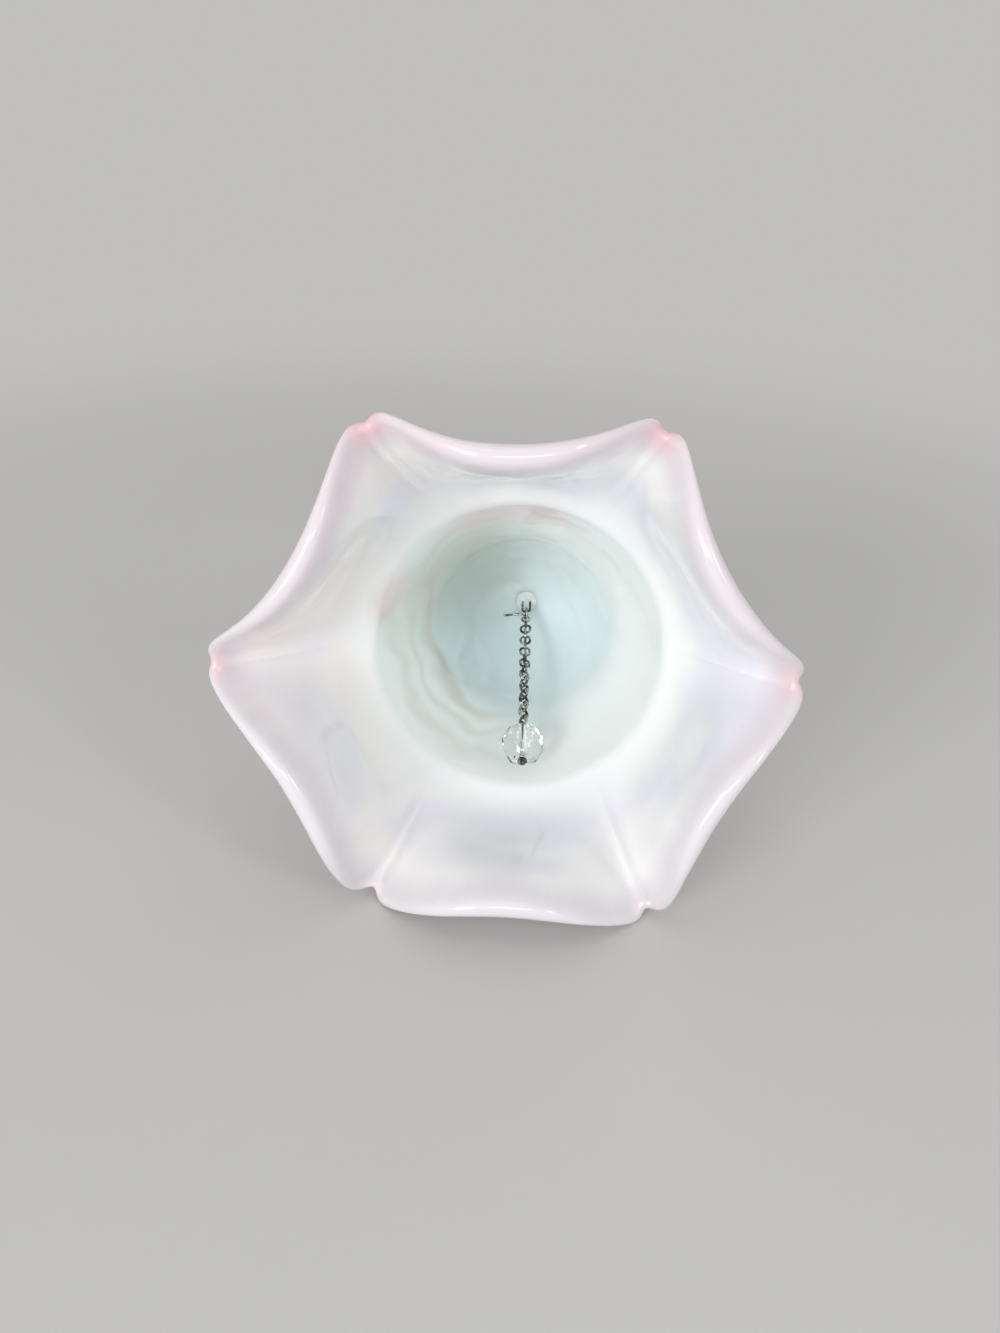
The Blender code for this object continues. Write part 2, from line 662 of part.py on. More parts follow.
def build():
    """Make every piece and lay the bell down with its clapper in it."""
    clear_scene()
    opal = make_material("opal_glass", PINK_WHITE, 0.08)
    plaster = make_material("white_cement", PLASTER_WHITE, 0.9)
    nickel = make_material("nickel_wire", NICKEL, 0.3, metallic=1.0)
    crystal = make_material("clear_glass", CRYSTAL, 0.02, transmission=1.0)

    lying = make_empty("bell_axis", (0.0, 0.0, 0.0), (0.0, 0.0, 0.0))
    bell = build_bell_glass(opal, lying)
    turn, tilt, place = lie_down(bell)
    lying.location = place
    lying.rotation_euler = (-math.pi / 2.0 - tilt, 0.0, 0.0)
    bell.rotation_euler = (0.0, 0.0, turn)

    sway = math.radians(CHAIN_SWAY_DEG)
    swayed = make_empty("clapper_plane", (0.0, 0.0, 0.0), (0.0, 0.0, -sway), lying)
    lean = clapper_lean()
    build_cement(plaster, swayed)
    build_staple(nickel, swayed, lean)
    downwards = Vector((0.0, math.sin(lean), -math.cos(lean)))
    foot = Vector((0.0, 0.0, SOCKET_MOUTH)) + downwards * STAPLE_DROP
    line = make_empty("clapper_line", foot, (lean, 0.0, 0.0), swayed)
    build_hanger(nickel, line)
    build_chain(nickel, line)
    build_eye_pin(nickel, line)
    build_bead(crystal, line)


build()
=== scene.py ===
"""Looks of the glass table bell: hand-crimped opal glass, bead clapper on a chain."""

import json
import math

import bmesh
import bpy
import numpy as np
from mathutils import Euler, Matrix, Vector, noise


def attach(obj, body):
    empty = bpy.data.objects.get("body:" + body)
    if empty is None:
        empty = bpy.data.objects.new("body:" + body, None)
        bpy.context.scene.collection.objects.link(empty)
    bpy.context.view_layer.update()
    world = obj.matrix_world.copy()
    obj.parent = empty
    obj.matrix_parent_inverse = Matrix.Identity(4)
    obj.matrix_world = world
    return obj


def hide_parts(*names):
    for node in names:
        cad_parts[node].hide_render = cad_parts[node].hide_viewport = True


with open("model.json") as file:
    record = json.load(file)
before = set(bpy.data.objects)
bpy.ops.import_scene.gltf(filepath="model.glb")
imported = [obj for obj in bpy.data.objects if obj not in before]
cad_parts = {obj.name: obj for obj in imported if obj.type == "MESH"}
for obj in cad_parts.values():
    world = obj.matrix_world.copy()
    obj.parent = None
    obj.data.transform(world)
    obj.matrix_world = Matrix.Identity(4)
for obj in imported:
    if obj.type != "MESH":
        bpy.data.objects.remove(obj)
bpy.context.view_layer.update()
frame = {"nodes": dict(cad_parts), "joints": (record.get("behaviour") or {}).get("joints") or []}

# Studio. The bell lies on a plain pale sheet that runs out into an even backdrop,
# under soft lamps at its left, front, right, top and back, as for a catalogue.
SHEET_RADIUS = 4.0
SHEET_SIDES = 96
SHEET_GREY = (0.59, 0.585, 0.575, 1.0)
SHEET_ROUGHNESS = 0.9
BACKDROP_GREY = (0.535, 0.53, 0.52, 1.0)
BACKDROP_START = 0.14
BACKDROP_END = 0.50
SKY_WHITE = (1.0, 1.0, 1.0, 1.0)
SKY_STRENGTH = 0.52
CAMERA_PLACE = (0.00845, -0.2257, 0.14565)
CAMERA_TURN_DEG = (59.597, -1.654, 4.046)
CAMERA_NEAREST = 0.005
LENS_MM = 27.09
LAMP_AIM = (0.0, -0.03, 0.05)
LAMPS = (
    ("lamp_left", (-0.46, -0.84, 0.32), (0.34, 0.36), 4.3),
    ("lamp_front", (0.05, -0.92, 0.40), (0.36, 0.12), 1.3),
    ("lamp_right", (0.56, -0.58, 0.50), (0.14, 0.30), 1.0),
    ("lamp_top", (-0.05, -0.30, 0.88), (0.50, 0.20), 0.3),
    ("lamp_back", (0.45, 0.72, 0.42), (0.50, 0.50), 0.8),
)


def start_fresh():
    """Leave edit mode and deselect everything."""
    if bpy.context.object and bpy.context.object.mode != "OBJECT":
        bpy.ops.object.mode_set(mode="OBJECT")
    bpy.ops.object.select_all(action="DESELECT")


def new_finish(name):
    """A new finish, with its node tree and its shader."""
    finish = bpy.data.materials.new(name)
    finish.use_nodes = True
    return finish, finish.node_tree, finish.node_tree.nodes["Principled BSDF"]


def join(tree, source, target):
    """Run one socket into another."""
    tree.links.new(source, target)


def fade(tree, value, start, end, low=0.0, high=1.0):
    """Smoothly turn a value that runs from start to end into one from low to high."""
    node = tree.nodes.new("ShaderNodeMapRange")
    node.interpolation_type = "SMOOTHSTEP"
    join(tree, value, node.inputs["Value"])
    node.inputs["From Min"].default_value = start
    node.inputs["From Max"].default_value = end
    node.inputs["To Min"].default_value = low
    node.inputs["To Max"].default_value = high
    return node.outputs["Result"]


def arithmetic(tree, operation, first, second):
    """Combine two values, or a value and a number."""
    node = tree.nodes.new("ShaderNodeMath")
    node.operation = operation
    for socket, value in zip(node.inputs, (first, second)):
        if isinstance(value, (int, float)):
            socket.default_value = value
        else:
            join(tree, value, socket)
    return node.outputs["Value"]


def seen_directly(tree):
    """1 for rays from the camera, from gloss and through glass, else 0."""
    path = tree.nodes.new("ShaderNodeLightPath")
    direct = path.outputs["Is Camera Ray"]
    for kind in ("Is Glossy Ray", "Is Transmission Ray"):
        direct = arithmetic(tree, "MAXIMUM", direct, path.outputs[kind])
    return direct


start_fresh()
bpy.ops.mesh.primitive_circle_add(vertices=SHEET_SIDES, radius=SHEET_RADIUS, fill_type="NGON")
sheet = bpy.context.object
sheet.name = "pale_sheet"
sheet_finish, tree, shader = new_finish("pale_sheet")
shader.inputs["Base Color"].default_value = SHEET_GREY
shader.inputs["Roughness"].default_value = SHEET_ROUGHNESS
from_bell = tree.nodes.new("ShaderNodeVectorMath")
from_bell.operation = "LENGTH"
join(tree, tree.nodes.new("ShaderNodeTexCoord").outputs["Object"], from_bell.inputs[0])
backdrop = fade(tree, from_bell.outputs["Value"], BACKDROP_START, BACKDROP_END)
backdrop = arithmetic(tree, "MULTIPLY", backdrop, seen_directly(tree))
glow = tree.nodes.new("ShaderNodeEmission")
glow.inputs["Color"].default_value = BACKDROP_GREY
mix = tree.nodes.new("ShaderNodeMixShader")
join(tree, backdrop, mix.inputs["Fac"])
join(tree, shader.outputs["BSDF"], mix.inputs[1])
join(tree, glow.outputs["Emission"], mix.inputs[2])
join(tree, mix.outputs["Shader"], tree.nodes["Material Output"].inputs["Surface"])
sheet.data.materials.append(sheet_finish)

sky = bpy.data.worlds.new("studio_air")
sky.use_nodes = True
tree = sky.node_tree
air = tree.nodes["Background"]
air.inputs["Color"].default_value = SKY_WHITE
air.inputs["Strength"].default_value = SKY_STRENGTH
wall = tree.nodes.new("ShaderNodeBackground")
wall.inputs["Color"].default_value = BACKDROP_GREY
mix = tree.nodes.new("ShaderNodeMixShader")
join(tree, seen_directly(tree), mix.inputs["Fac"])
join(tree, air.outputs["Background"], mix.inputs[1])
join(tree, wall.outputs["Background"], mix.inputs[2])
join(tree, mix.outputs["Shader"], tree.nodes["World Output"].inputs["Surface"])
bpy.context.scene.world = sky

camera_data = bpy.data.cameras.new("camera")
camera_data.lens = LENS_MM
camera_data.clip_start = CAMERA_NEAREST
camera = bpy.data.objects.new("camera", camera_data)
camera.location = CAMERA_PLACE
camera.rotation_euler = [math.radians(turn) for turn in CAMERA_TURN_DEG]
bpy.context.collection.objects.link(camera)
bpy.context.scene.camera = camera
bpy.context.scene.view_settings.view_transform = "Standard"

for name, place, size, power in LAMPS:
    lamp_data = bpy.data.lights.new(name, "AREA")
    lamp_data.shape = "RECTANGLE"
    lamp_data.size, lamp_data.size_y = size
    lamp_data.energy = power
    lamp = bpy.data.objects.new(name, lamp_data)
    lamp.location = place
    lamp.rotation_euler = (Vector(LAMP_AIM) - Vector(place)).to_track_quat("-Z", "Y").to_euler()
    lamp.visible_camera = False
    bpy.context.collection.objects.link(lamp)

# Bell. One piece of opal glass, blown with its solid handle, crimped hot at six
# corners and fire-polished, so its wall is a little wavy and its lip is rounded.
# It stands for the CAD solid, whose merged copy is subdivided and worked over.
BELL_TILT_DEG = 14.890
BELL_PLACE = (0.0020235, -0.0620048, 0.0458361)
BELL_TURN = (math.radians(-90.0 - BELL_TILT_DEG), 0.0, 0.0)
BELL_FRAME = Matrix.Translation(BELL_PLACE) @ Euler(BELL_TURN).to_matrix().to_4x4()
CREASE_DEG = (4.463, 62.763, 121.163, 178.863, 239.763, 303.063)
CREASE_LENGTH = 0.036
THROAT_RADIUS = 0.0315
THROAT_HEIGHT = 0.026
THROAT_CATCH = 0.0003
THROAT_SHARPNESS = 0.6
CROWN_HEIGHT = 0.0787
CROWN_MARGIN = 0.002
SOCKET_TOP = 0.0870
SOCKET_REACH = 0.0060
SAME_PLACE = 1e-6
ANY_ANGLE = math.radians(180.0)
GLASS_LEVELS = 2
DEGREES = range(361)
LIP_WINDOW_DEG = 1.5
INNER_LEAN = 0.7
INNER_CONTRAST = 2.0
WAVE_HEIGHT = 0.00013
WAVE_LENGTH = 0.013
SMALL_WAVE_SHARE = 0.4
SMALL_WAVE_RATIO = 2.3
SMALL_WAVE_SHIFT = (7.0, 3.0, 5.0)
RIDGE_HEIGHT = 0.00070
RIDGE_WIDTH = 0.00080
RIDGE_START = 0.003
RIDGE_RISE = 0.006
MM = 1000.0


def take_up(piece):
    """Select one piece alone and make it the active one."""
    start_fresh()
    piece.select_set(True)
    bpy.context.view_layer.objects.active = piece


bell = bpy.data.objects.new("opal_bell", frame["nodes"]["bell_glass"].data.copy())
bpy.context.collection.objects.link(bell)
take_up(bell)
bell.data.materials.clear()
bpy.ops.mesh.customdata_custom_splitnormals_clear()
bpy.ops.object.mode_set(mode="EDIT")
bpy.ops.mesh.select_all(action="SELECT")
bpy.ops.mesh.remove_doubles(threshold=SAME_PLACE)
bpy.ops.mesh.tris_convert_to_quads(face_threshold=ANY_ANGLE, shape_threshold=ANY_ANGLE)
bpy.ops.mesh.mark_sharp(clear=True)
bpy.ops.mesh.select_mode(type="EDGE")
bpy.ops.mesh.select_all(action="DESELECT")
to_bell = BELL_FRAME.inverted()


def on_throat(vert):
    """Whether a point lies on the ring where the skirt turns into the body."""
    place = to_bell @ vert.co
    off_ring = math.hypot(place.x, place.y) - THROAT_RADIUS
    return abs(off_ring) < THROAT_CATCH and abs(place.z - THROAT_HEIGHT) < THROAT_CATCH


# The throat's ring stays crisp when the wall is rounded
glass = bmesh.from_edit_mesh(bell.data)
for edge in glass.edges:
    edge.select = all(on_throat(vert) for vert in edge.verts)
bmesh.update_edit_mesh(bell.data)
bpy.ops.transform.edge_crease(value=THROAT_SHARPNESS)
bpy.ops.object.mode_set(mode="OBJECT")
modifier = bell.modifiers.new("round_glass", "SUBSURF")
modifier.levels = GLASS_LEVELS
modifier.render_levels = GLASS_LEVELS
bpy.ops.object.modifier_apply(modifier=modifier.name)
bpy.ops.object.shade_smooth()

# Where each point of the glass is, in the bell's own frame: height up its axis,
# reach from the axis and angle about it, anticlockwise as the mouth is seen
upright = np.array([to_bell @ vert.co for vert in bell.data.vertices])
reach = np.hypot(upright[:, 0], upright[:, 1])
angle = np.degrees(np.arctan2(-upright[:, 1], upright[:, 0]))
height = upright[:, 2]


def angle_apart(first, second):
    """Degrees between two angles about the axis."""
    return np.abs((first - second + 180.0) % 360.0 - 180.0)


# The lip's outermost line, found degree by degree on the skirt
skirt = height < THROAT_HEIGHT
lip_line = np.zeros((len(DEGREES), 2))
for degree in DEGREES:
    near = np.flatnonzero(skirt & (angle_apart(angle, degree) < LIP_WINDOW_DEG))
    outermost = near[np.argmax(reach[near])]
    lip_line[degree] = reach[outermost], height[outermost]
lip_reach = np.interp(angle % 360.0, DEGREES, lip_line[:, 0])
lip_height = np.interp(angle % 360.0, DEGREES, lip_line[:, 1])
from_lip = np.hypot(reach - lip_reach, height - lip_height)
from_crease = np.min([angle_apart(angle, crease) for crease in CREASE_DEG], axis=0)
from_crease = np.radians(from_crease) * reach

# Inner or outer side: the inner wall's normal points to the axis or the mouth
facing = np.array([vert.normal for vert in bell.data.vertices])
normals = facing @ np.array(to_bell.to_3x3()).T
outward = normals[:, 0] * upright[:, 0] + normals[:, 1] * upright[:, 1]
outward /= np.maximum(reach, SAME_PLACE)
inner = np.clip(0.5 - INNER_CONTRAST * (outward + normals[:, 2] * INNER_LEAN), 0.0, 1.0)
inner[(height > CROWN_HEIGHT + CROWN_MARGIN) & (reach > SOCKET_REACH)] = 0.0
inner[height > SOCKET_TOP] = 0.0
inner[(height > THROAT_HEIGHT) & (height < SOCKET_TOP) & (reach < SOCKET_REACH)] = 1.0

# Waves left in the surface by the tools and the fire, and a drawn-up ridge
# inside each crease, highest near the lip
places = np.array([vert.co for vert in bell.data.vertices])
waves = []
for place in places / WAVE_LENGTH:
    spot = Vector(place)
    small_spot = spot * SMALL_WAVE_RATIO + Vector(SMALL_WAVE_SHIFT)
    waves.append(noise.noise(spot) + SMALL_WAVE_SHARE * noise.noise(small_spot))
ridge_fall = np.clip(1.0 - from_lip / CREASE_LENGTH, 0.0, 1.0)
ridge_rise = np.clip((from_lip - RIDGE_START) / RIDGE_RISE, 0.0, 1.0)
ridges = np.exp(-((from_crease / RIDGE_WIDTH) ** 2)) * inner * (ridge_fall * ridge_rise)
lift = np.array(waves) * WAVE_HEIGHT + ridges * RIDGE_HEIGHT
places += facing * lift[:, None]
bell.data.vertices.foreach_set("co", places.astype(np.float32).ravel())
bell.data.update()

for name, values in (
    ("from_lip", from_lip * MM),
    ("from_crease", from_crease * MM),
    ("inner_side", inner),
):
    attribute = bell.data.attributes.new(name, "FLOAT", "POINT")
    attribute.data.foreach_set("value", values.astype(np.float32))


def srgb(red, green, blue):
    """A colour as seen on a screen, 0 to 255, in the renderer's own scale."""
    shares = [channel / 255.0 for channel in (red, green, blue)]
    return (*[((s + 0.055) / 1.055) ** 2.4 if s > 0.04045 else s / 12.92 for s in shares], 1.0)


def blend_colours(tree, share, first, second):
    """Mix two colours, each a socket or a colour, by a share."""
    node = tree.nodes.new("ShaderNodeMix")
    node.data_type = "RGBA"
    join(tree, share, node.inputs["Factor"])
    for socket, value in ((node.inputs[6], first), (node.inputs[7], second)):
        if isinstance(value, tuple):
            socket.default_value = value
        else:
            join(tree, value, socket)
    return node.outputs[2]


def all_of(tree, *shares):
    """The product of several shares, each a socket or a number."""
    product = shares[0]
    for share in shares[1:]:
        product = arithmetic(tree, "MULTIPLY", product, share)
    return product


def read_attribute(tree, name):
    """Read one of the piece's own values."""
    node = tree.nodes.new("ShaderNodeAttribute")
    node.attribute_name = name
    return node.outputs["Fac"]


def cloud(tree, vector, scale, detail, distortion=0.0):
    """Soft uneven pattern from 0 to 1."""
    node = tree.nodes.new("ShaderNodeTexNoise")
    join(tree, vector, node.inputs["Vector"])
    node.inputs["Scale"].default_value = scale
    node.inputs["Detail"].default_value = detail
    node.inputs["Distortion"].default_value = distortion
    return node.outputs["Fac"]


def relief(tree, shader, pattern, strength, depth):
    """Press a fine pattern into a finish."""
    node = tree.nodes.new("ShaderNodeBump")
    node.inputs["Strength"].default_value = strength
    node.inputs["Distance"].default_value = depth
    join(tree, pattern, node.inputs["Height"])
    join(tree, node.outputs["Normal"], shader.inputs["Normal"])


MILK = srgb(245, 244, 244)
LILAC = srgb(236, 235, 243)
SALMON = srgb(245, 237, 234)
# Painted shade for the greyer band round the lip
LIP_SHADE = srgb(221, 220, 225)
ROSE = srgb(228, 211, 216)
DEEP_ROSE = srgb(229, 190, 196)
SEA_GREEN = srgb(237, 244, 241)
ICE_BLUE = srgb(233, 246, 250)
# Grey of the strands: partly smoke in the glass, partly painted shade at the waist's step
SMOKE_AND_SHADE = srgb(205, 208, 200)
# Painted shade, grey green, for the upper left of the dome
DOME_SHADE = srgb(190, 197, 187)
BLUSH = srgb(236, 214, 214)

# Scale, detail and distortion of each cloud in the glass, and their middle value
SOFT_CLOUD = (38.0, 2.0, 0.6)
FINE_CLOUD = (160.0, 4.0, 1.2)
DRIFT_CLOUD = (42.0, 2.0)
RIPPLE_CLOUD = (200.0, 1.0, 0.3)
CLOUD_MIDDLE = 0.5

# Where each colour starts and is full, and its least and greatest share: by the
# cloud, by metres across, down and up the axis, or by millimetres from the lip
LILAC_IN_CLOUD = (0.40, 0.62)
SALMON_ACROSS = (-0.010, -0.040)
SALMON_IN_CLOUD = (0.60, 0.35, 0.3, 0.9)
SEA_GREEN_UP = (0.014, 0.032)
ICE_BLUE_UP = (0.034, 0.060)
ICE_BLUE_DOWN = (-0.016, 0.006, 0.15, 1.0)
# Where the painted shade at the upper left of the dome falls
DOME_SHADE_ACROSS = (0.008, -0.014)
DOME_SHADE_DOWN = (0.014, -0.010, 0.25, 0.8)
DOME_SHADE_UP = (0.026, 0.045)
STRANDS_ACROSS = (0.002, -0.013)
UPPER_LIP_DOWN = (0.030, -0.035, 0.30, 1.0)
LIP_SHADE_FROM_LIP = (9.0, 3.0)
ROSE_FROM_LIP = (11.0, 0.5)
ROSE_IN_CLOUD = (0.25, 0.7, 0.35, 0.9)
NICK_FROM_LIP = (6.5, 0.0)
NICK_FROM_CREASE = (5.5, 0.5)
ROUGHNESS_IN_CLOUD = (0.35, 0.75, 0.02, 0.075)

# Each strand's height, width and strength, and how far the strands wander
STRANDS = ((0.0470, 0.0040, 0.85), (0.0400, 0.0022, 0.45), (0.0335, 0.0042, 0.35))
STRAND_DRIFT = 0.034

# Each blush's angle, reach and height on the wall, and its spread
BLUSHES = (
    (162.0, 0.0300, 0.029, 0.010),
    (110.0, 0.0290, 0.032, 0.012),
    (85.0, 0.0290, 0.032, 0.012),
)
BLUSH_SHARE = 0.7
RIPPLE_STRENGTH = 0.35
RIPPLE_DEPTH = 0.0002
GLASS_IOR = 1.5
GLASS_GLOW = 0.55
GLOW_DEPTH = 0.004
EVEN_GLOW = (1.0, 1.0, 1.0)

glass_finish, tree, shader = new_finish("opal_glass")
coordinates = tree.nodes.new("ShaderNodeTexCoord")
to_axis = tree.nodes.new("ShaderNodeMapping")
to_axis.vector_type = "TEXTURE"
to_axis.inputs["Location"].default_value = BELL_PLACE
to_axis.inputs["Rotation"].default_value = BELL_TURN
join(tree, coordinates.outputs["Object"], to_axis.inputs["Vector"])
in_bell = to_axis.outputs["Vector"]
split = tree.nodes.new("ShaderNodeSeparateXYZ")
join(tree, in_bell, split.inputs["Vector"])
across, down, up_axis = (split.outputs[axis] for axis in "XYZ")
lip = read_attribute(tree, "from_lip")
crease = read_attribute(tree, "from_crease")
side = read_attribute(tree, "inner_side")
soft_cloud = cloud(tree, in_bell, *SOFT_CLOUD)
fine_cloud = cloud(tree, in_bell, *FINE_CLOUD)

# Milk white, clouded with lilac, and a breath of salmon in the left lobes
colour = blend_colours(tree, fade(tree, soft_cloud, *LILAC_IN_CLOUD), MILK, LILAC)
salmon = all_of(tree, fade(tree, across, *SALMON_ACROSS), fade(tree, soft_cloud, *SALMON_IN_CLOUD))
colour = blend_colours(tree, salmon, colour, SALMON)

# Sea green in the throat and ice blue in the crown, inside only
throat = all_of(tree, fade(tree, up_axis, *SEA_GREEN_UP), side)
colour = blend_colours(tree, throat, colour, SEA_GREEN)
crown = all_of(tree, fade(tree, up_axis, *ICE_BLUE_UP), side, fade(tree, down, *ICE_BLUE_DOWN))
colour = blend_colours(tree, crown, colour, ICE_BLUE)

# Painted shade: a grey green darkening at the upper left of the dome
upper_left = all_of(tree, fade(tree, across, *DOME_SHADE_ACROSS), fade(tree, down, *DOME_SHADE_DOWN))
dome_shade = all_of(tree, upper_left, fade(tree, up_axis, *DOME_SHADE_UP), side)
colour = blend_colours(tree, dome_shade, colour, DOME_SHADE)

# Grey strands that wind round the waist on its left: partly smoke in the glass, left where the gather
# was turned, partly painted shade along the step at the waist
drift = arithmetic(tree, "SUBTRACT", cloud(tree, in_bell, *DRIFT_CLOUD), CLOUD_MIDDLE)
drift = arithmetic(tree, "MULTIPLY", drift, STRAND_DRIFT)
wound = arithmetic(tree, "ADD", up_axis, drift)
left_side = fade(tree, across, *STRANDS_ACROSS)
for strand_height, strand_width, strength in STRANDS:
    off_strand = arithmetic(tree, "SUBTRACT", wound, strand_height)
    off_strand = arithmetic(tree, "ABSOLUTE", off_strand, 0.0)
    strand = all_of(tree, fade(tree, off_strand, strand_width, 0.0), left_side, side, strength)
    colour = blend_colours(tree, strand, colour, SMOKE_AND_SHADE)

# Painted shade in a greyer band round the lip; rose along its upper half, in patches of the throat's
# ring and deep in the nicks
upper = fade(tree, down, *UPPER_LIP_DOWN)
colour = blend_colours(tree, fade(tree, lip, *LIP_SHADE_FROM_LIP), colour, LIP_SHADE)
near_lip = all_of(tree, fade(tree, lip, *ROSE_FROM_LIP), fade(tree, soft_cloud, *ROSE_IN_CLOUD), upper)
colour = blend_colours(tree, near_lip, colour, ROSE)
for turn, blush_reach, blush_height, spread in BLUSHES:
    turn = math.radians(turn)
    from_blush = tree.nodes.new("ShaderNodeVectorMath")
    from_blush.operation = "DISTANCE"
    join(tree, in_bell, from_blush.inputs[0])
    centre = (blush_reach * math.cos(turn), -blush_reach * math.sin(turn), blush_height)
    from_blush.inputs[1].default_value = centre
    blush = all_of(tree, fade(tree, from_blush.outputs["Value"], spread, 0.0), side, BLUSH_SHARE)
    colour = blend_colours(tree, blush, colour, BLUSH)
nick = all_of(tree, fade(tree, lip, *NICK_FROM_LIP), fade(tree, crease, *NICK_FROM_CREASE), upper)
colour = blend_colours(tree, nick, colour, DEEP_ROSE)
join(tree, colour, shader.inputs["Base Color"])

# Fire-polished gloss, with a faint film of handling and a trace of chill ripples
join(tree, fade(tree, fine_cloud, *ROUGHNESS_IN_CLOUD), shader.inputs["Roughness"])
relief(tree, shader, cloud(tree, in_bell, *RIPPLE_CLOUD), RIPPLE_STRENGTH, RIPPLE_DEPTH)
shader.inputs["IOR"].default_value = GLASS_IOR
shader.inputs["Subsurface Weight"].default_value = GLASS_GLOW
shader.inputs["Subsurface Radius"].default_value = EVEN_GLOW
shader.inputs["Subsurface Scale"].default_value = GLOW_DEPTH
bell.data.materials.append(glass_finish)
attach(bell, "bell")
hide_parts("bell_glass")

# Wire staple. Nickel-plated steel wire bent to a U, its two legs set in the
# cement of the socket and its round foot carrying the hanger.
WIRE_RADIUS = 0.00031
WIRE_ROUNDNESS = 3
BEND_ORDER = 3
BEND_STEPS = 3
SMOOTH_BELOW_DEG = 40.0
STAPLE_SPREAD = 0.0020
STAPLE_DROP = 0.0046
FOOT_STEPS = 12
STRAIGHT_SHARE = 0.8
LEG_LENGTH = 0.0056
# Bright plate and dark spots on the wire: partly real tarnish, partly painted glints and dark
# reflections
BRIGHT_NICKEL = srgb(188, 189, 184)
DARK_NICKEL = srgb(66, 67, 61)
TARNISH_AND_GLINT_CLOUD = (620.0, 3.0, 0.5)
TARNISH_AND_GLINT_IN_CLOUD = (0.42, 0.58)
DULLNESS_IN_CLOUD = (0.42, 0.60, 0.10, 0.34)

swing = frame["joints"][0]
spin = frame["joints"][-1]
FOOT = Vector(swing["pos_m"])
ACROSS = -Vector(swing["axis"]).normalized()
UPWARDS = (FOOT - Vector(spin["pos_m"])).normalized()
CLAPPER_FRAME = Matrix((ACROSS, UPWARDS.cross(ACROSS), UPWARDS)).transposed().to_4x4()
CLAPPER_FRAME.translation = FOOT
BELL_AXIS = (BELL_FRAME.to_3x3() @ Vector((0.0, 0.0, 1.0))).normalized()
AXIS_IN_CLAPPER = CLAPPER_FRAME.to_3x3().inverted() @ BELL_AXIS


def arc(centre, radius, start_deg, end_deg, count):
    """Places on an arc that stands across the clapper, as (across, depth, up)."""
    places = []
    for step in range(count + 1):
        turn = math.radians(start_deg + (end_deg - start_deg) * step / count)
        places.append(Vector((radius * math.cos(turn), 0.0, centre + radius * math.sin(turn))))
    return places


def bend_wire(name, bends):
    """Bend round wire through a row of places and cut its ends square."""
    curve = bpy.data.curves.new(name, "CURVE")
    curve.dimensions = "3D"
    curve.bevel_depth = WIRE_RADIUS
    curve.bevel_resolution = WIRE_ROUNDNESS
    curve.use_fill_caps = True
    spline = curve.splines.new("NURBS")
    spline.points.add(len(bends) - 1)
    for point, place in zip(spline.points, bends):
        point.co = (*place, 1.0)
    spline.order_u = BEND_ORDER
    spline.resolution_u = BEND_STEPS
    spline.use_endpoint_u = True
    wire = bpy.data.objects.new(name, curve)
    bpy.context.collection.objects.link(wire)
    take_up(wire)
    bpy.ops.object.convert(target="MESH")
    return bpy.context.object


def set_in_place(piece, placing=CLAPPER_FRAME):
    """Put a piece that was made upright where the clapper hangs, its origin at zero."""
    take_up(piece)
    piece.matrix_world = placing
    bpy.ops.object.transform_apply(location=True, rotation=True, scale=True)
    bpy.ops.object.shade_smooth_by_angle(angle=math.radians(SMOOTH_BELOW_DEG))


nickel, tree, shader = new_finish("nickel_wire")
coordinates = tree.nodes.new("ShaderNodeTexCoord").outputs["Object"]
# Fine bright and dark spots: partly tarnish, partly painted glints and dark reflections
tarnish_and_glints = cloud(tree, coordinates, *TARNISH_AND_GLINT_CLOUD)
plate_and_glints = blend_colours(tree, fade(tree, tarnish_and_glints, *TARNISH_AND_GLINT_IN_CLOUD), BRIGHT_NICKEL, DARK_NICKEL)
join(tree, plate_and_glints, shader.inputs["Base Color"])
join(tree, fade(tree, tarnish_and_glints, *DULLNESS_IN_CLOUD), shader.inputs["Roughness"])
shader.inputs["Metallic"].default_value = 1.0

half = STAPLE_SPREAD / 2.0
left = Vector((-half, 0.0, 0.0))
bend = Vector((0.0, 0.0, STAPLE_DROP - WIRE_RADIUS))
leg_end = Vector((0.0, 0.0, STAPLE_DROP)) + AXIS_IN_CLAPPER * LEG_LENGTH
near_bend = (bend + leg_end) / 2.0
below_bend = bend * STRAIGHT_SHARE
path = [leg_end + left, near_bend + left, bend + left, below_bend + left]
path += arc(half, half, 180.0, 360.0, FOOT_STEPS)
path += [below_bend - left, bend - left, near_bend - left, leg_end - left]
staple = bend_wire("staple_wire", path)
set_in_place(staple)
staple.data.materials.append(nickel)
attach(staple, "bell")
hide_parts("wire_staple")

# Cement. A plug of white mineral cement that fills the socket of the crown and
# grips the staple's legs; its face is a little rough where it was struck off, and
# a thin smear of it lies round the mouth of the socket.
PLUG_RADIUS = 0.00205
PLUG_FACE = 0.0783
PLUG_DEPTH = 0.0052
PLUG_SIDES = 48
SMEAR_RADIUS = 0.0026
SMEAR_STEP = 0.00005
SMEAR_RINGS = (0.93, 0.90, 0.80, 0.60)
FACING_MOUTH = -0.9
GRAIN_HEIGHT = 0.00003
GRAIN_SCALE = 1500.0
CHALK_WHITE = srgb(228, 237, 236)
CHALK_GREY = srgb(214, 223, 221)
CHALK_CLOUD = (1800.0, 5.0)
GREY_IN_CLOUD = (0.35, 0.70)
CHALK_ROUGHNESS = 0.85
PIT_STRENGTH = 0.3
PIT_DEPTH = 0.00004

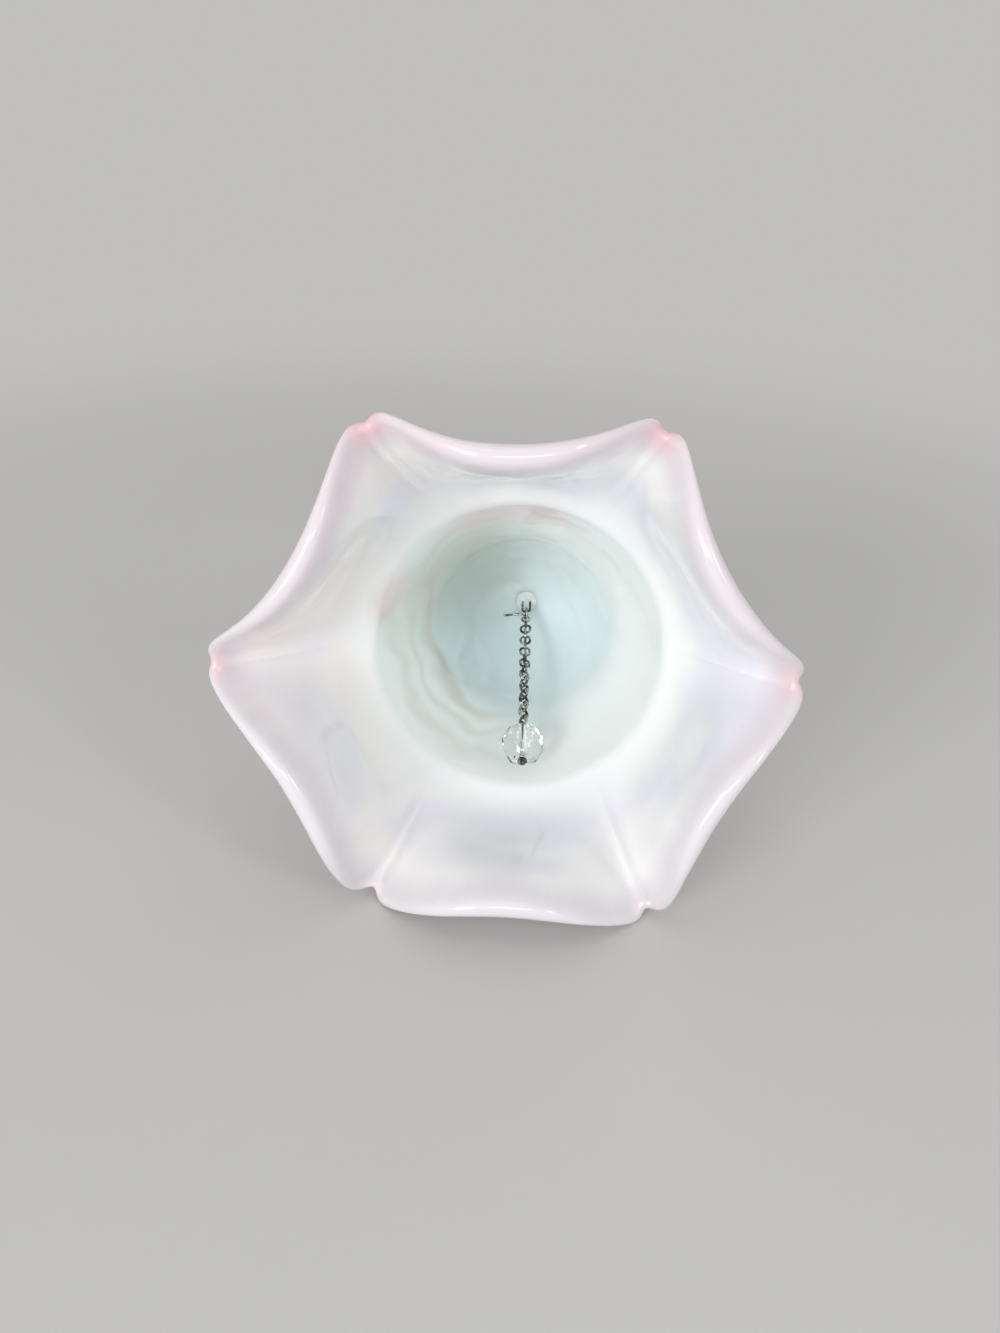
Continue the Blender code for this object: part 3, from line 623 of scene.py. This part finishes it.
start_fresh()
bpy.ops.mesh.primitive_cylinder_add(
    vertices=PLUG_SIDES, radius=PLUG_RADIUS, depth=PLUG_DEPTH,
    location=(0.0, 0.0, PLUG_FACE + PLUG_DEPTH / 2.0),
)
cement = bpy.context.object
cement.name = "cement_plug"
bpy.ops.object.transform_apply(location=True, rotation=True, scale=True)
bpy.ops.object.mode_set(mode="EDIT")
bpy.ops.mesh.select_mode(type="FACE")
bpy.ops.mesh.select_all(action="DESELECT")
plug = bmesh.from_edit_mesh(cement.data)
for face in plug.faces:
    face.select = face.normal.z < FACING_MOUTH
bmesh.update_edit_mesh(cement.data)
plug_face = (0.0, 0.0, PLUG_FACE)
for spread in (SMEAR_RADIUS / PLUG_RADIUS, *SMEAR_RINGS):
    bpy.ops.mesh.extrude_region_move(TRANSFORM_OT_translate={"value": (0.0, 0.0, -SMEAR_STEP)})
    bpy.ops.transform.resize(value=(spread, spread, 1.0), center_override=plug_face)
bpy.ops.object.mode_set(mode="OBJECT")
set_in_place(cement, BELL_FRAME)
for vert in cement.data.vertices:
    vert.co += vert.normal * GRAIN_HEIGHT * noise.noise(vert.co * GRAIN_SCALE)
cement_finish, tree, shader = new_finish("white_cement")
coordinates = tree.nodes.new("ShaderNodeTexCoord").outputs["Object"]
grain = cloud(tree, coordinates, *CHALK_CLOUD)
chalk = blend_colours(tree, fade(tree, grain, *GREY_IN_CLOUD), CHALK_WHITE, CHALK_GREY)
join(tree, chalk, shader.inputs["Base Color"])
shader.inputs["Roughness"].default_value = CHALK_ROUGHNESS
relief(tree, shader, grain, PIT_STRENGTH, PIT_DEPTH)
cement.data.materials.append(cement_finish)
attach(cement, "bell")
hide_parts("socket_cement")

# Hanger. A short piece of the same wire: a straight tail, one turn round the
# foot of the staple, and an open loop below that carries the chain.
WIRE_THICKNESS = 2.0 * WIRE_RADIUS
WIRE_PLAY = 0.0001
CROSSING = WIRE_THICKNESS + WIRE_PLAY
EYE_RADIUS = 0.00125
LOOP_RADIUS = 0.0010
LOOP_NECK = 0.0005
LOOP_START_DEG = 35.0
LOOP_END_DEG = -235.0
TURN_PITCH = 0.00078
TURN_STEPS = 16
TAIL_LENGTH = 0.0059
TAIL_DROOP = 0.6
EYE_CENTRE = EYE_RADIUS - CROSSING
KNOT_DROP = EYE_CENTRE + EYE_RADIUS
LOOP_CENTRE = KNOT_DROP + LOOP_RADIUS + LOOP_NECK
CHAIN_START = LOOP_CENTRE + LOOP_RADIUS - CROSSING / 2.0

start = -TURN_PITCH / 2.0
path = [
    Vector((-TAIL_LENGTH, -WIRE_THICKNESS, -KNOT_DROP - WIRE_RADIUS)),
    Vector((-TAIL_LENGTH * TAIL_DROOP, -WIRE_THICKNESS, -KNOT_DROP - WIRE_RADIUS * TAIL_DROOP)),
    Vector((start - 2.0 * WIRE_THICKNESS, -WIRE_THICKNESS, -KNOT_DROP)),
    Vector((start - WIRE_RADIUS, -WIRE_THICKNESS, -KNOT_DROP)),
]
for step in range(1, TURN_STEPS):
    turn = 2.0 * math.pi * step / TURN_STEPS - math.pi / 2.0
    across = start + TURN_PITCH * step / TURN_STEPS
    path.append(Vector((across, EYE_RADIUS * math.cos(turn), EYE_RADIUS * math.sin(turn) - EYE_CENTRE)))
path.append(Vector((-start, WIRE_RADIUS, -KNOT_DROP - WIRE_RADIUS)))
path += arc(-LOOP_CENTRE, LOOP_RADIUS, LOOP_START_DEG, LOOP_END_DEG, TURN_STEPS)
hanger = bend_wire("hanger_wire", path)
set_in_place(hanger)
hanger.data.materials.append(nickel)
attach(hanger, "hanger")
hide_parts("wire_hanger")

# Chain. Seventeen links of nickel-plated wire, each bent to an oval, threaded
# through the one above and pressed shut, so that its seam doesn't show. Links
# stand across each other, and down the chain they ease round by 45 degrees.
LINK_COUNT = 17
LINK_LENGTH = 0.0036
LINK_WIDTH = 0.0030
LINK_SIDES = 12
LINK_STEPS = 12
LINK_PITCH = LINK_LENGTH - WIRE_THICKNESS - CROSSING
QUARTER_TURN_DEG = 90.0
TWIST_DEG = 45.0
TWIST_FIRST_LINK = 3
TWIST_LINKS = 8

start_fresh()
bow = LINK_WIDTH / 2.0 - WIRE_RADIUS
straight = LINK_LENGTH / 2.0 - WIRE_RADIUS - bow
bpy.ops.mesh.primitive_circle_add(vertices=LINK_SIDES, radius=WIRE_RADIUS, location=(bow, 0.0, 0.0))
pattern_link = bpy.context.object
bpy.ops.object.transform_apply(location=True, rotation=True, scale=True)
bpy.ops.object.mode_set(mode="EDIT")
bpy.ops.mesh.select_mode(type="EDGE")
bpy.ops.mesh.select_all(action="SELECT")
bpy.ops.mesh.extrude_region_move(TRANSFORM_OT_translate={"value": (0.0, 0.0, straight)})
bpy.ops.mesh.spin(steps=LINK_STEPS, angle=math.pi, center=(0.0, 0.0, straight), axis=(0.0, 1.0, 0.0))
bpy.ops.mesh.extrude_region_move(TRANSFORM_OT_translate={"value": (0.0, 0.0, -2.0 * straight)})
bpy.ops.mesh.spin(steps=LINK_STEPS, angle=math.pi, center=(0.0, 0.0, -straight), axis=(0.0, 1.0, 0.0))
bpy.ops.mesh.extrude_region_move(TRANSFORM_OT_translate={"value": (0.0, 0.0, straight)})
bpy.ops.mesh.select_all(action="SELECT")
bpy.ops.mesh.remove_doubles(threshold=SAME_PLACE)
bpy.ops.mesh.normals_make_consistent(inside=False)
bpy.ops.object.mode_set(mode="OBJECT")

for index in range(LINK_COUNT):
    share = min(max((index - TWIST_FIRST_LINK) / TWIST_LINKS, 0.0), 1.0)
    eased = share * share * (3.0 - 2.0 * share)
    roll = QUARTER_TURN_DEG * ((index + 1) % 2) + TWIST_DEG * eased
    drop = CHAIN_START + index * LINK_PITCH + LINK_LENGTH / 2.0 - WIRE_RADIUS - CROSSING / 2.0
    link = bpy.data.objects.new(f"link_{index + 1:02d}_wire", pattern_link.data.copy())
    bpy.context.collection.objects.link(link)
    placing = Matrix.Translation((0.0, 0.0, -drop)) @ Matrix.Rotation(math.radians(roll), 4, "Z")
    set_in_place(link, CLAPPER_FRAME @ placing)
    link.data.materials.append(nickel)
    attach(link, f"link_{index + 1:02d}")
    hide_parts(f"chain_link_{index + 1:02d}")
bpy.data.objects.remove(pattern_link)

# Eye pin. Nickel-plated wire: an eye curled round the last link, a shank that
# runs through the bead, and an upset flat head that holds the bead on.
PIN_EYE_RADIUS = 0.0009
PIN_EYE_STEPS = 16
EYE_OPEN_DEG = 32.0
SHANK_ABOVE_BEAD = 0.0002
SHANK_IN_BEAD = 0.001
PIN_HEAD_RADIUS = 0.0011
PIN_HEAD_HEIGHT = 0.0006
PIN_HEAD_SIDES = 24
PIN_HEAD_EDGE = 0.00012
BEAD_HALF_LENGTH = 0.0046
SEAT_GAP = 0.0003

pin_top = -(CHAIN_START + LINK_COUNT * LINK_PITCH)
eye_centre = -(PIN_EYE_RADIUS - CROSSING / 2.0)
bead_top = eye_centre - PIN_EYE_RADIUS - WIRE_RADIUS - SEAT_GAP
under_bead = bead_top - 2.0 * BEAD_HALF_LENGTH - SEAT_GAP
path = arc(eye_centre, PIN_EYE_RADIUS, -EYE_OPEN_DEG, 270.0, PIN_EYE_STEPS)
for shank_place in (bead_top + SHANK_ABOVE_BEAD, bead_top - SHANK_IN_BEAD, under_bead):
    path.append(Vector((0.0, 0.0, shank_place)))
pin = bend_wire("pin_wire", path)
bpy.ops.mesh.primitive_cylinder_add(
    vertices=PIN_HEAD_SIDES, radius=PIN_HEAD_RADIUS, depth=PIN_HEAD_HEIGHT,
    location=(0.0, 0.0, under_bead - PIN_HEAD_HEIGHT / 2.0),
)
head = bpy.context.object
modifier = head.modifiers.new("worn_edge", "BEVEL")
modifier.width = PIN_HEAD_EDGE
modifier.segments = 2
bpy.ops.object.modifier_apply(modifier=modifier.name)
pin.select_set(True)
bpy.context.view_layer.objects.active = pin
bpy.ops.object.join()
pin_roll = QUARTER_TURN_DEG * ((LINK_COUNT + 1) % 2) + TWIST_DEG
placing = Matrix.Translation((0.0, 0.0, pin_top)) @ Matrix.Rotation(math.radians(pin_roll), 4, "Z")
set_in_place(pin, CLAPPER_FRAME @ placing)
pin.data.materials.append(nickel)
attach(pin, "pin")
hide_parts("eye_pin")

# Bead. Clear crystal, moulded and then cut all round with flat polished facets,
# and drilled along its middle. It hangs between the eye and the head of the pin.
BEAD_RADIUS = 0.0050
BEAD_SHOULDER_DEG = 36.0
BEAD_TABLE_RADIUS = 0.0017
BEAD_SIDES = 8
BORE_RADIUS = 0.00065
BORE_LENGTH = 3.0 * BEAD_HALF_LENGTH
BORE_SIDES = 32
FACET_EDGE = 0.00006
MERGE_GAP = 0.00003
CRYSTAL_TINT = (0.97, 0.99, 0.99, 1.0)
CRYSTAL_IOR = 1.54

# A belt, two shoulders turned from it by half a facet, and a small flat at each end
shoulder = BEAD_RADIUS * math.cos(math.radians(BEAD_SHOULDER_DEG))
rise = BEAD_RADIUS * math.sin(math.radians(BEAD_SHOULDER_DEG))
start_fresh()
bpy.ops.mesh.primitive_circle_add(
    vertices=BEAD_SIDES, radius=BEAD_RADIUS, rotation=(0.0, 0.0, math.pi / BEAD_SIDES)
)
bead = bpy.context.object
bead.name = "cut_bead"
bpy.ops.object.transform_apply(location=True, rotation=True, scale=True)
bpy.ops.object.mode_set(mode="EDIT")
for radius, place, offset in (
    (shoulder, rise, 0.0),
    (shoulder, -rise, 0.0),
    (BEAD_TABLE_RADIUS, BEAD_HALF_LENGTH, 0.5),
    (BEAD_TABLE_RADIUS, -BEAD_HALF_LENGTH, 0.5),
):
    bpy.ops.mesh.primitive_circle_add(
        vertices=BEAD_SIDES, radius=radius, location=(0.0, 0.0, place),
        rotation=(0.0, 0.0, 2.0 * math.pi * offset / BEAD_SIDES),
    )
bpy.ops.mesh.select_all(action="SELECT")
bpy.ops.mesh.convex_hull()
bpy.ops.object.mode_set(mode="OBJECT")
modifier = bead.modifiers.new("facet_edges", "BEVEL")
modifier.width = FACET_EDGE
modifier.segments = 1
modifier.limit_method = "ANGLE"
bpy.ops.object.modifier_apply(modifier=modifier.name)

# The bore, drilled right through, and the slivers that the drill leaves merged
bpy.ops.mesh.primitive_cylinder_add(vertices=BORE_SIDES, radius=BORE_RADIUS, depth=BORE_LENGTH)
bore = bpy.context.object
take_up(bead)
modifier = bead.modifiers.new("bore", "BOOLEAN")
modifier.operation = "DIFFERENCE"
modifier.object = bore
modifier.solver = "EXACT"
bpy.ops.object.modifier_apply(modifier=modifier.name)
bpy.data.objects.remove(bore)
bpy.ops.object.mode_set(mode="EDIT")
bpy.ops.mesh.select_all(action="SELECT")
bpy.ops.mesh.remove_doubles(threshold=MERGE_GAP)
bpy.ops.mesh.dissolve_degenerate(threshold=MERGE_GAP)
bpy.ops.object.mode_set(mode="OBJECT")
bead_drop = (Vector(spin["pos_m"]) - FOOT).length
set_in_place(bead, CLAPPER_FRAME @ Matrix.Translation((0.0, 0.0, -bead_drop)))
crystal, tree, shader = new_finish("clear_glass")
shader.inputs["Base Color"].default_value = CRYSTAL_TINT
shader.inputs["Roughness"].default_value = 0.0
shader.inputs["IOR"].default_value = CRYSTAL_IOR
shader.inputs["Transmission Weight"].default_value = 1.0
bead.data.materials.append(crystal)
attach(bead, "bead")
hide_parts("clapper_bead")
